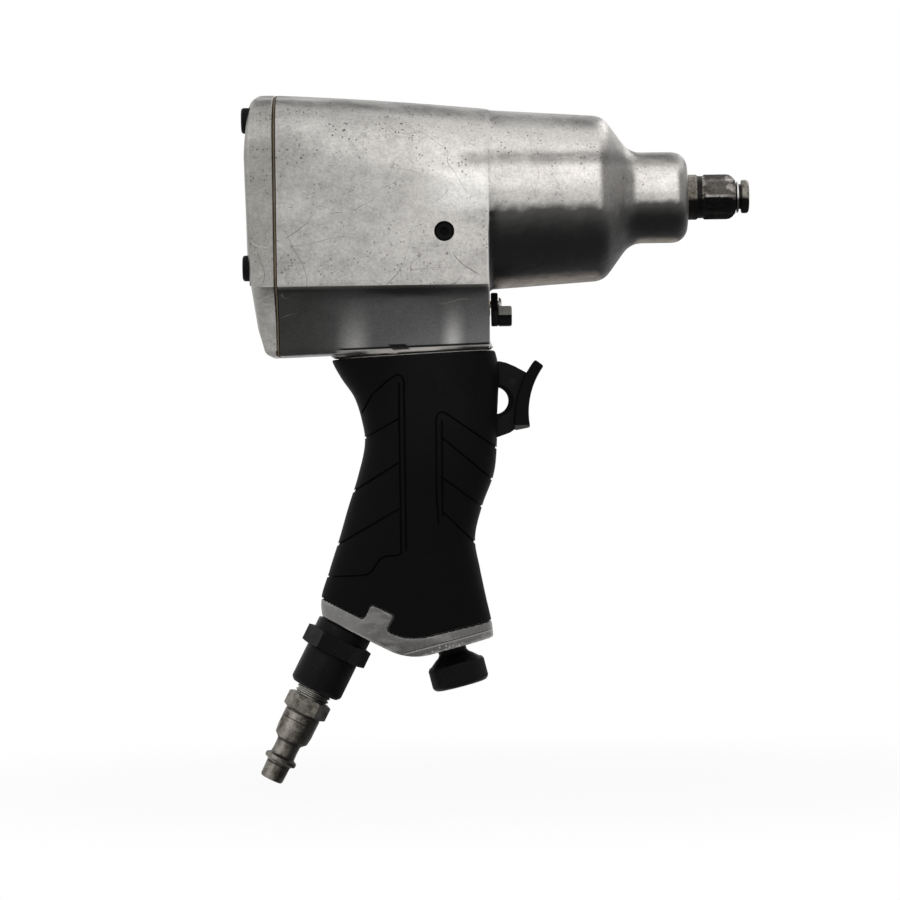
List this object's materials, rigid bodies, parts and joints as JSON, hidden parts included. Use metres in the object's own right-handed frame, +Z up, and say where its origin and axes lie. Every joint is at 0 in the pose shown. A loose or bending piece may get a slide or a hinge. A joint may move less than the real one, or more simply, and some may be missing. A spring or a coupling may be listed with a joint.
{
  "type": "air impact wrench",
  "caption": "Pistol-grip half-inch drive air impact wrench with a twin-hammer clutch, a vane motor, a rubber-covered handle, a reverse lever and a power regulator.",
  "frame": {"origin": "centre of the square drive's tip face", "axes": "+X along the anvil towards the socket, +Z up away from the handle, +Y to the tool's left"},
  "size_m": [0.1862, 0.0696, 0.2548],
  "materials": {
    "cast_aluminium": "cast and tumbled, scuffed",
    "gasket_paper": "pressed fibre",
    "black_steel": "black oxide",
    "worn_steel": "dark, worn",
    "bright_steel": "ground",
    "bearing_steel": "polished",
    "rubber": "matt overmould",
    "black_plastic": "moulded",
    "bronze": "turned bronze",
    "brass": "turned",
    "phenolic": "laminated phenolic",
    "felt": "felt"
  },
  "bodies": {
    "housing": {"housing": "cast_aluminium", "rear_cover": "cast_aluminium", "rear_gasket": "gasket_paper", "cover_screw_top_left": "black_steel", "cover_screw_top_right": "black_steel", "cover_screw_bottom_left": "black_steel", "cover_screw_bottom_right": "black_steel", "lock_washer_top_left": "black_steel", "lock_washer_top_right": "black_steel", "lock_washer_bottom_left": "black_steel", "lock_washer_bottom_right": "black_steel", "handle_grip": "rubber", "motor_cylinder": "worn_steel", "front_end_plate": "worn_steel", "rear_end_plate": "worn_steel", "front_bearing": "bearing_steel", "rear_bearing": "bearing_steel", "cylinder_dowel": "bright_steel", "anvil_bushing": "bronze", "thrust_washer": "bronze", "inlet_bushing": "black_steel", "inlet_plug": "worn_steel", "inlet_screen": "brass", "valve_seat": "brass", "throttle_spring": "bright_steel", "exhaust_muffler": "felt", "trigger_pin": "bright_steel", "detent_ball": "bearing_steel", "detent_spring": "bright_steel", "oil_plug": "black_steel"},
    "rotor": {"rotor": "worn_steel", "rotor_vane_1": "phenolic", "rotor_vane_2": "phenolic", "rotor_vane_3": "phenolic", "rotor_vane_4": "phenolic", "rotor_vane_5": "phenolic", "rotor_vane_6": "phenolic"},
    "hammer_cage": {"hammer_cage": "worn_steel", "hammer_pin_left": "bright_steel", "hammer_pin_right": "bright_steel"},
    "front_hammer": {"front_hammer": "worn_steel"},
    "rear_hammer": {"rear_hammer": "worn_steel"},
    "anvil": {"anvil": "worn_steel", "socket_ring": "bright_steel", "socket_seal": "rubber"},
    "trigger": {"trigger": "black_plastic"},
    "throttle_valve": {"throttle_valve": "brass"},
    "reverse_valve": {"reverse_valve": "brass", "reverse_lever": "black_steel", "lever_screw": "bright_steel"},
    "regulator": {"regulator_knob": "black_steel", "regulator_stem": "brass", "regulator_seal": "rubber"}
  },
  "joints": [
    {"name": "hammer_cage_spin", "type": "hinge", "parent": "housing", "child": "hammer_cage", "pos_m": [-0.1, 0, 0], "axis": [1, 0, 0], "continuous": true},
    {"name": "rotor_spin", "type": "hinge", "parent": "housing", "child": "rotor", "pos_m": [-0.145, 0, 0], "axis": [1, 0, 0], "continuous": true},
    {"name": "anvil_spin", "type": "hinge", "parent": "housing", "child": "anvil", "pos_m": [-0.04, 0, 0], "axis": [1, 0, 0], "continuous": true},
    {"name": "front_hammer_rock", "type": "hinge", "parent": "hammer_cage", "child": "front_hammer", "pos_m": [-0.074, 0.018, 0], "axis": [1, 0, 0], "range_deg": [-8, 0]},
    {"name": "rear_hammer_rock", "type": "hinge", "parent": "hammer_cage", "child": "rear_hammer", "pos_m": [-0.091, -0.018, 0], "axis": [1, 0, 0], "range_deg": [-8, 0]},
    {"name": "trigger_press", "type": "slide", "parent": "housing", "child": "trigger", "axis": [-1, 0, 0], "range_m": [0, 0.003], "stiffness_N_per_m": 1500, "springref_m": -0.003},
    {"name": "throttle_valve_tilt", "type": "hinge", "parent": "housing", "child": "throttle_valve", "pos_m": [-0.11657, 0, -0.10292], "axis": [0, -1, 0], "range_deg": [0, 8], "deforming": ["throttle_spring"]},
    {"name": "reverse_lever_turn", "type": "hinge", "parent": "housing", "child": "reverse_valve", "pos_m": [-0.096, 0, -0.0387], "axis": [1, 0, 0], "range_deg": [0, 120]},
    {"name": "regulator_turn", "type": "hinge", "parent": "housing", "child": "regulator", "pos_m": [-0.11218, 0, -0.16528], "axis": [0.2419, 0, -0.9703], "range_deg": [0, 270]}
  ],
  "couplings": [
    {"joint": "rotor_spin", "follows": "hammer_cage_spin", "ratio": 1},
    {"joint": "anvil_spin", "follows": "hammer_cage_spin", "ratio": 1},
    {"joint": "throttle_valve_tilt", "follows": "trigger_press", "rad_per_m": 46.4}
  ]
}
